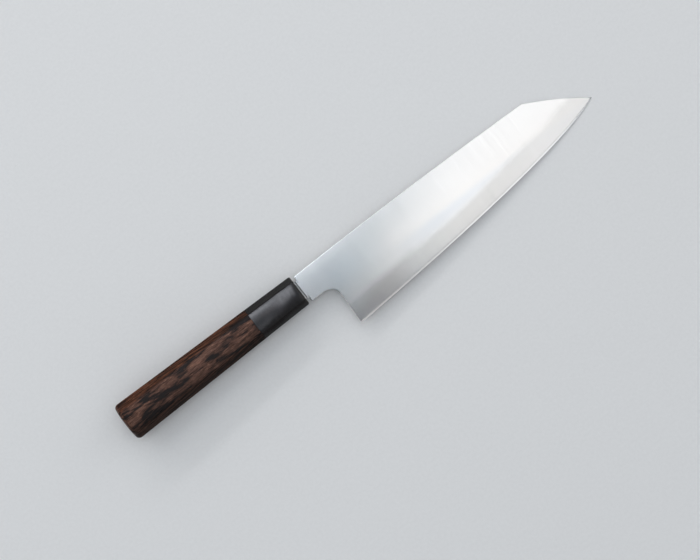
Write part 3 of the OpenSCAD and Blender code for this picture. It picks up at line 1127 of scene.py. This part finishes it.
def horn_black():
    """Polished black horn with slightly uneven facets, brown where light gets into it."""
    n = Nodes("black_horn_polished")
    streaks = n.noise(n.stretched(*HORN_STREAKS), detail=4, distort=0.5)
    scuffs = n.noise(n.stretched(*HORN_SCUFFS), detail=3)
    swells = n.noise(n.stretched(*HORN_SWELLS), detail=1)
    n.feed("Base Color", n.ramp(streaks, BLACKS))
    n.feed("Roughness", n.spread(scuffs, *HORN_ROUGH))
    n.set(IOR=HORN_IOR)
    n.bump(n.plus(swells, n.times(scuffs, SCUFF_SHARE)), 1.0, SWELL_DEPTH)
    return n.material


def mottled(name, waves, colours, rough, detail=3, distort=0.0):
    """A plain material whose noise drives both its colour and its roughness."""
    n = Nodes(name)
    mottle = n.noise(n.stretched(*waves), detail=detail, distort=distort)
    n.feed("Base Color", n.ramp(mottle, list(zip(NOISE_RANGE, colours))))
    n.feed("Roughness", n.spread(mottle, *rough))
    return n.material


def wood_light():
    """Straight-grained bare wood of the dowel."""
    colours = [(0.42, 0.28, 0.15), (0.66, 0.5, 0.31)]
    return mottled("light_wood_bare", (40, 900, 900), colours, (0.6, 0.75), detail=4, distort=0.4)


def resin_cured():
    """Dark cured resin round the tang."""
    colours = [(0.03, 0.024, 0.018), (0.06, 0.048, 0.034)]
    return mottled("resin_cured", (300, 300, 300), colours, (0.25, 0.4))


def floor_pale():
    """The matt pale floor, nearly even."""
    colours = [(0.86, 0.86, 0.855), (0.89, 0.89, 0.885)]
    return mottled("floor_pale", (500, 500, 500), colours, (0.75, 0.85))


def dress(piece, material, slot, *nodes):
    """A finished piece in its material, which stands for nodes of the frame."""
    piece.data.materials.clear()
    piece.data.materials.append(material)
    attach(piece, "root")
    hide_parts(*nodes)


def dress_node(node, material):
    """A piece of the frame that is shown as it is, in a material of its own."""
    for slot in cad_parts[node].material_slots:
        slot.material = material


FLOOR_SIZE = 6.0


def build_floor():
    bpy.ops.mesh.primitive_plane_add(size=FLOOR_SIZE)
    floor = bpy.context.object
    floor.name = "floor"
    floor.data.materials.append(floor_pale())


# The photograph's camera: straight above, turned about the vertical, focal length in pixels
CAMERA_UP = 1.3
CAMERA_AT = (-0.013032, -0.000692)
CAMERA_TURN = math.radians(-37.5839)
CAMERA_REACH = 20.0
FOCAL_PIXELS = 1990.07
PHOTO_WIDTH = 700
SENSOR = 36.0


def build_camera():
    data = bpy.data.cameras.new("camera")
    data.sensor_width = SENSOR
    data.lens = FOCAL_PIXELS / PHOTO_WIDTH * SENSOR
    data.clip_end = CAMERA_REACH
    camera = bpy.data.objects.new("camera", data)
    camera.location = (*CAMERA_AT, CAMERA_UP)
    camera.rotation_euler = (0, 0, CAMERA_TURN)
    bpy.context.scene.collection.objects.link(camera)
    bpy.context.scene.camera = camera


# Heights of the lights overhead, and the colours of the lights
LAMP_UP = 1.7
CEILING_UP = 2.6
WHITE = (1.0, 1.0, 1.0)
WARM = (1.0, 0.965, 0.935)
PALE = (0.96, 0.98, 0.98)
PALEST = (0.97, 0.98, 0.97)
COOL = (0.96, 0.98, 1.06)
SKY_NORTH = (0.55, 0.87, 1.18)
SKY_SOUTH = (0.72, 0.93, 1.12)
WORLD_COLOUR = (0.85, 0.94, 1.05, 1.0)
WORLD_STRENGTH = 0.1

# Dim upright soft boxes all round, which low views see mirrored in the steel
WALL_AWAY = 2.6
WALL_MIDDLE = 0.8
WALL_SIZE = (5.2, 0.85)
WALL_RADIANCE = 0.45
WALL_SIDES = {"n": (0, 1), "s": (0, -1), "e": (1, 0), "w": (-1, 0)}

# The least slant, in metres, at which a light has to be turned
SLANT = 0.001


def softbox(name, centre, size, radiance, colour=WHITE, aim=(0.0, 0.0, 0.0)):
    """A rectangular light, as bright as radiance all over, that faces a place."""
    data = bpy.data.lights.new(name, "AREA")
    data.shape = "RECTANGLE"
    data.size, data.size_y = size
    data.energy = radiance * math.pi * size[0] * size[1]
    data.color = colour
    light = bpy.data.objects.new(name, data)
    light.location = centre
    way = Vector(aim) - Vector(centre)
    if way.xy.length > SLANT:
        light.rotation_euler = way.to_track_quat("-Z", "Y").to_euler()
    light.visible_camera = False
    bpy.context.scene.collection.objects.link(light)


def overhead(name, centre, size, radiance, colour=WHITE, up=LAMP_UP):
    """A soft box that faces straight down."""
    softbox(name, (*centre, up), size, radiance, colour, (*centre, 0.0))


def build_world():
    world = bpy.data.worlds.new("studio")
    world.use_nodes = True
    sky = world.node_tree.nodes["Background"]
    sky.inputs["Color"].default_value = WORLD_COLOUR
    sky.inputs["Strength"].default_value = WORLD_STRENGTH
    bpy.context.scene.world = world


def build_overhead():
    """Panels that the blade mirrors, cards for the ferrule and the wood, and a dim ceiling."""
    overhead("ceiling", (0, 0.93), (3.6, 2.0), 0.18, SKY_NORTH, CEILING_UP)
    overhead("ceiling_south", (0, -0.87), (3.6, 1.6), 0.1, SKY_SOUTH, CEILING_UP)
    overhead("panel", (0.51, 0.285), (0.46, 0.97), 1.2, WARM)
    overhead("panel_corner", (0.235, -0.12), (0.07, 0.12), 1.6, PALE)
    overhead("panel_low", (0.37, -0.13), (0.2, 0.14), 0.35, WARM)
    overhead("card", (0.015, 0.2), (0.23, 0.23), 7.5, COOL)
    overhead("card_low", (0.04, 0.045), (0.13, 0.08), 2.2, COOL)
    overhead("handle_card", (-0.24, 0.2), (0.24, 0.23), 4.4)
    overhead("panel_fill", (0.285, -0.05), (0.11, 0.05), 3.3, PALEST)
    overhead("bevel_heel", (0.175, -0.45), (0.25, 0.4), 0.75)
    overhead("bevel_tip", (0.49, -0.45), (0.38, 0.4), 1.6)


def build_round():
    """Large boxes at the four sides, a strip for the spine, and the dim walls behind them."""
    softbox("north", (-0.2, 1.8, 1.6), (3.2, 1.6), 0.98)
    softbox("strip", (0.0, 1.9, 1.1), (2.6, 0.15), 5.2)
    softbox("west", (-1.9, 0.3, 1.6), (2.4, 1.6), 0.8)
    softbox("east", (2.1, 0.0, 1.6), (2.4, 1.6), 0.9)
    softbox("south", (0.2, -1.8, 1.6), (2.8, 1.4), 0.3)
    for side, (x, y) in WALL_SIDES.items():
        centre = (WALL_AWAY * x, WALL_AWAY * y, WALL_MIDDLE)
        softbox("wall_" + side, centre, WALL_SIZE, WALL_RADIANCE, aim=(0.0, 0.0, WALL_MIDDLE))


cladding_steel = steel("cladding_satin", rough=0.17)
core_steel = steel("core_satin", rough=0.15)

right_layer, left_layer, hard_layer = build_blade()
dress(right_layer, cladding_steel, "cladding_steel", "blade_cladding_right")
dress(left_layer, cladding_steel, "cladding_steel", "blade_cladding_left")
dress(hard_layer, core_steel, "core_steel", "blade_core")
dress(build_ferrule(), horn_black(), "black_horn", "horn_ferrule")
dress(build_handle(), wood_streaked(), "dark_wood", "handle_body")
dress_node("slotted_dowel", wood_light())
dress_node("tang_resin", resin_cured())

build_floor()
build_world()
build_overhead()
build_round()
build_camera()
bpy.context.scene.view_settings.view_transform = "Standard"
